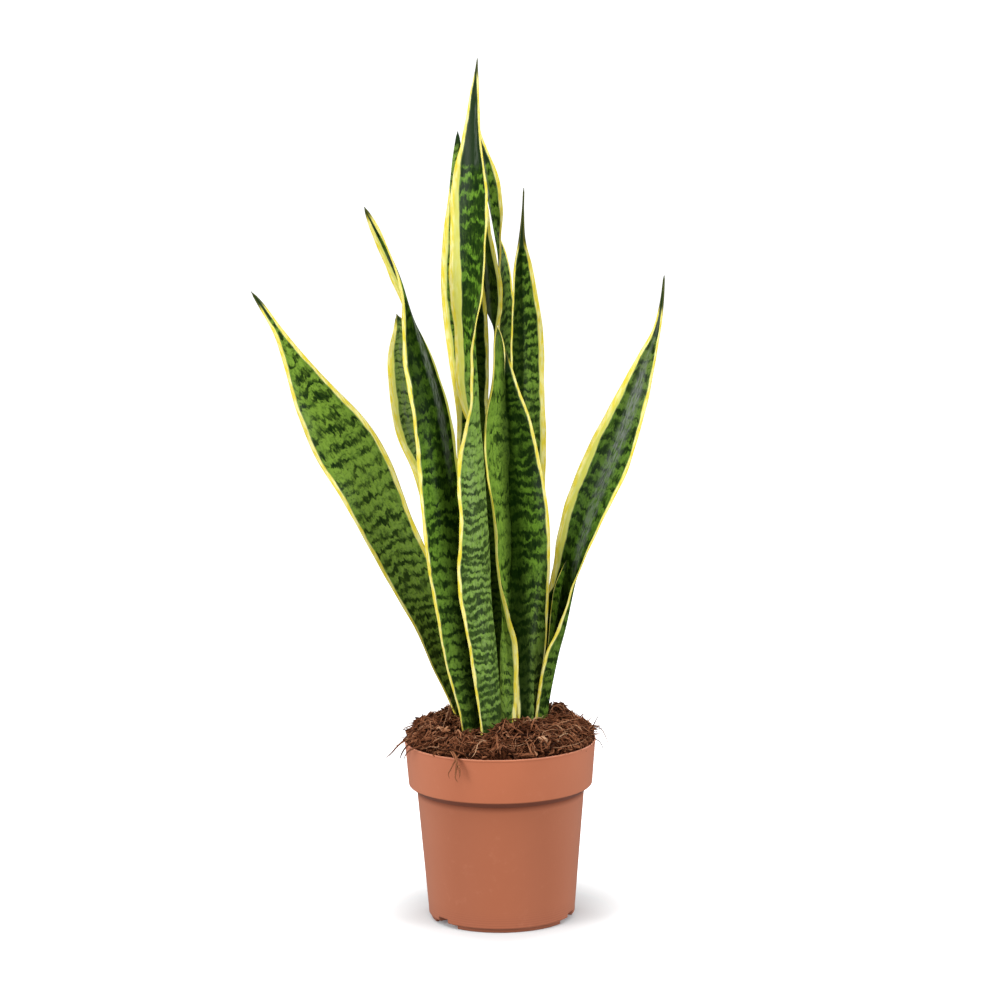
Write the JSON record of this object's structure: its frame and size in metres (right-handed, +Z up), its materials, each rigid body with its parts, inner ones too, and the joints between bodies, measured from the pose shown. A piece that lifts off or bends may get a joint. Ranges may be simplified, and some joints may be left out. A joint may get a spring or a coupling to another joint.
{
  "type": "potted snake plant",
  "caption": "Upright snake plant with yellow-edged, cross-banded sword leaves standing in a round terracotta-coloured nursery pot filled with coir.",
  "frame": {"origin": "middle of the pot's underside, on the pot's axis, at the level that the pot stands on", "axes": "+Z up along the pot's axis; the front of the plant, as pictured, faces -Y, and +X is to the right seen from there"},
  "size_m": [0.3605, 0.17, 0.762],
  "materials": {
    "pot_plastic": "moulded terracotta-coloured plastic with a soft sheen",
    "coir": "rough reddish-brown coir fibres and husk flakes",
    "leaf_blade": "satin waxy leaf, green with dark cross bands and yellow edges"
  },
  "bodies": {
    "root": {"pot": "pot_plastic", "soil": "coir", "leaf_tall_front": "leaf_blade", "leaf_left_middle": "leaf_blade", "leaf_left_low": "leaf_blade", "leaf_left_inner": "leaf_blade", "leaf_tall_left": "leaf_blade", "leaf_centre": "leaf_blade", "leaf_tall_back": "leaf_blade", "leaf_right_back": "leaf_blade", "leaf_right_front": "leaf_blade", "leaf_right_low": "leaf_blade", "leaf_right_spear": "leaf_blade"}
  },
  "joints": []
}
